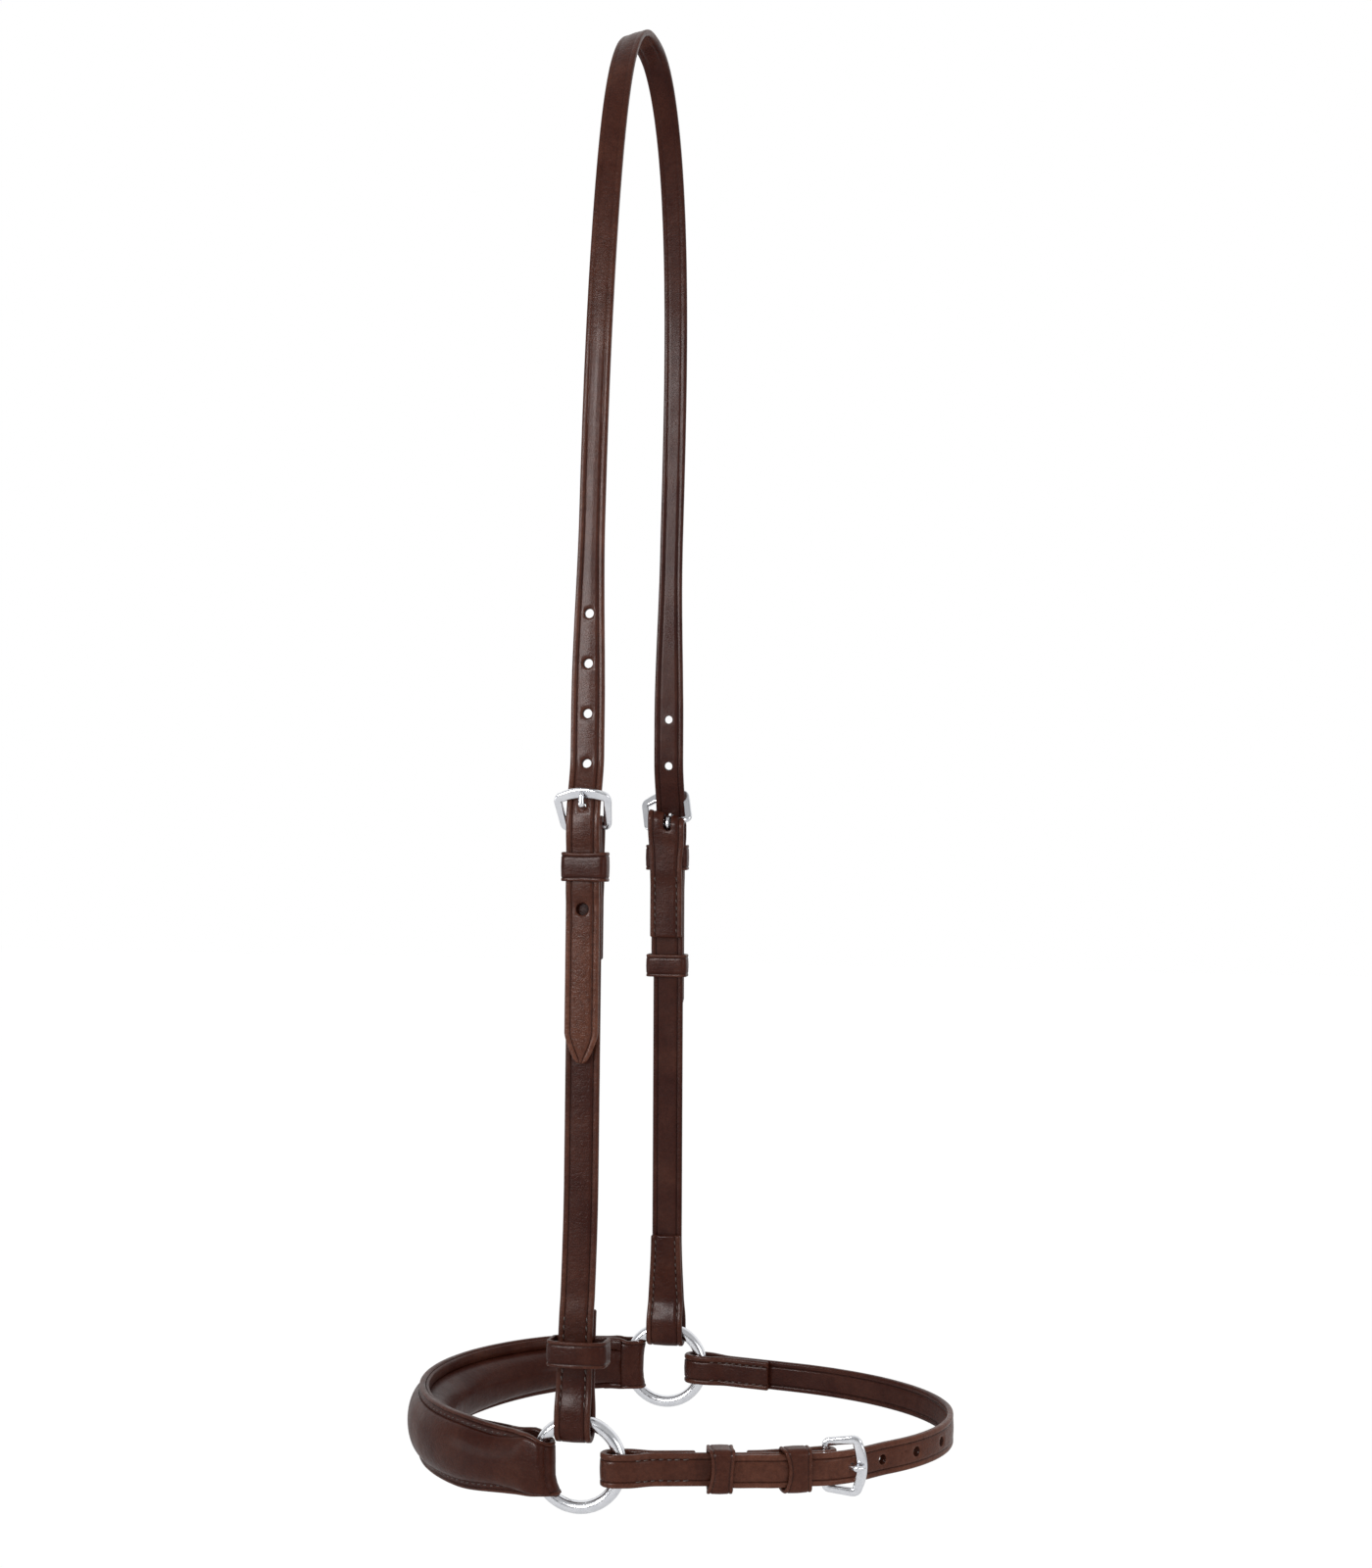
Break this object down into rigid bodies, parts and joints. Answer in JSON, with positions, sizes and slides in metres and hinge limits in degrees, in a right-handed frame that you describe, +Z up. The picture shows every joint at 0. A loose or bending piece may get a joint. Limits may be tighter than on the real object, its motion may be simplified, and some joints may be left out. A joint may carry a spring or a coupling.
{
  "type": "drop noseband",
  "caption": "Leather drop noseband for a bridle: a headpiece buckled to two cheekpieces, rings, a padded nosepiece and a buckled chin strap.",
  "frame": {"origin": "the middle of the crown's underside, where the headpiece rests on the horse's poll", "axes": "+Z up, -X towards the nosepiece (front), +X towards the chin strap (back), -Y near side, +Y far side"},
  "size_m": [0.2082, 0.1758, 0.5449],
  "materials": {
    "bridle_leather": "dark brown bridle leather, waxed",
    "lining_leather": "soft dark brown lining leather",
    "filler": "soft padding, hidden",
    "polished_steel": "polished stainless steel"
  },
  "bodies": {
    "head_straps": {"headpiece": "bridle_leather", "near_cheekpiece": "bridle_leather", "far_cheekpiece": "bridle_leather", "near_cheek_fixed_keeper": "bridle_leather", "far_cheek_fixed_keeper": "bridle_leather", "near_bridle_cheek_loop": "bridle_leather"},
    "near_ring": {"near_ring": "polished_steel"},
    "far_ring": {"far_ring": "polished_steel"},
    "nosepiece": {"nosepiece_base_strap": "bridle_leather", "nosepiece_raised_panel": "bridle_leather", "nosepiece_panel_filler": "filler", "nosepiece_lining": "lining_leather", "nosepiece_foam_pad": "filler"},
    "chin_strap": {"chin_buckle_strap": "bridle_leather", "chin_billet_strap": "bridle_leather", "chin_fixed_keeper": "bridle_leather"},
    "near_cheek_frame": {"near_cheek_buckle_frame": "polished_steel"},
    "near_cheek_prong": {"near_cheek_buckle_prong": "polished_steel"},
    "far_cheek_frame": {"far_cheek_buckle_frame": "polished_steel"},
    "far_cheek_prong": {"far_cheek_buckle_prong": "polished_steel"},
    "chin_frame": {"chin_buckle_frame": "polished_steel"},
    "chin_prong": {"chin_buckle_prong": "polished_steel"},
    "far_cheek_runner": {"far_cheek_runner_keeper": "bridle_leather"},
    "chin_runner": {"chin_runner_keeper": "bridle_leather"}
  },
  "joints": [
    {"name": "near_ring_spin", "type": "hinge", "parent": "head_straps", "child": "near_ring", "pos_m": [0, -0.078, -0.525], "axis": [0, 1, 0], "continuous": true},
    {"name": "far_ring_spin", "type": "hinge", "parent": "head_straps", "child": "far_ring", "pos_m": [0, 0.078, -0.525], "axis": [0, 1, 0], "continuous": true},
    {"name": "nosepiece_swing", "type": "hinge", "parent": "head_straps", "child": "nosepiece", "pos_m": [0, 0, -0.525], "axis": [0, 1, 0], "range_deg": [-40, 5]},
    {"name": "chin_strap_swing", "type": "hinge", "parent": "head_straps", "child": "chin_strap", "pos_m": [0, 0, -0.525], "axis": [0, -1, 0], "range_deg": [-40, 8]},
    {"name": "near_cheek_frame_tilt", "type": "hinge", "parent": "head_straps", "child": "near_cheek_frame", "pos_m": [0, -0.07408, -0.30043], "axis": [1, 0, 0], "range_deg": [0, 4]},
    {"name": "near_cheek_prong_tilt", "type": "hinge", "parent": "near_cheek_frame", "child": "near_cheek_prong", "pos_m": [0, -0.07408, -0.30043], "axis": [1, 0, 0], "range_deg": [0, 2]},
    {"name": "far_cheek_frame_tilt", "type": "hinge", "parent": "head_straps", "child": "far_cheek_frame", "pos_m": [0, 0.07408, -0.30043], "axis": [-1, 0, 0], "range_deg": [0, 4]},
    {"name": "far_cheek_prong_tilt", "type": "hinge", "parent": "far_cheek_frame", "child": "far_cheek_prong", "pos_m": [0, 0.07408, -0.30043], "axis": [-1, 0, 0], "range_deg": [0, 2]},
    {"name": "chin_frame_tilt", "type": "hinge", "parent": "chin_strap", "child": "chin_frame", "pos_m": [0.08479, -0.05699, -0.5257], "axis": [0, 0, -1], "range_deg": [0, 4]},
    {"name": "chin_prong_tilt", "type": "hinge", "parent": "chin_frame", "child": "chin_prong", "pos_m": [0.08479, -0.05699, -0.5257], "axis": [0, 0, -1], "range_deg": [0, 2]},
    {"name": "far_cheek_runner_slide", "type": "slide", "parent": "head_straps", "child": "far_cheek_runner", "axis": [0, -0.0174, 0.9998], "range_m": [-0.09, 0.005]},
    {"name": "chin_runner_slide", "type": "slide", "parent": "chin_strap", "child": "chin_runner", "axis": [0.9733, 0.2296, 0], "range_m": [-0.016, 0.003]}
  ]
}
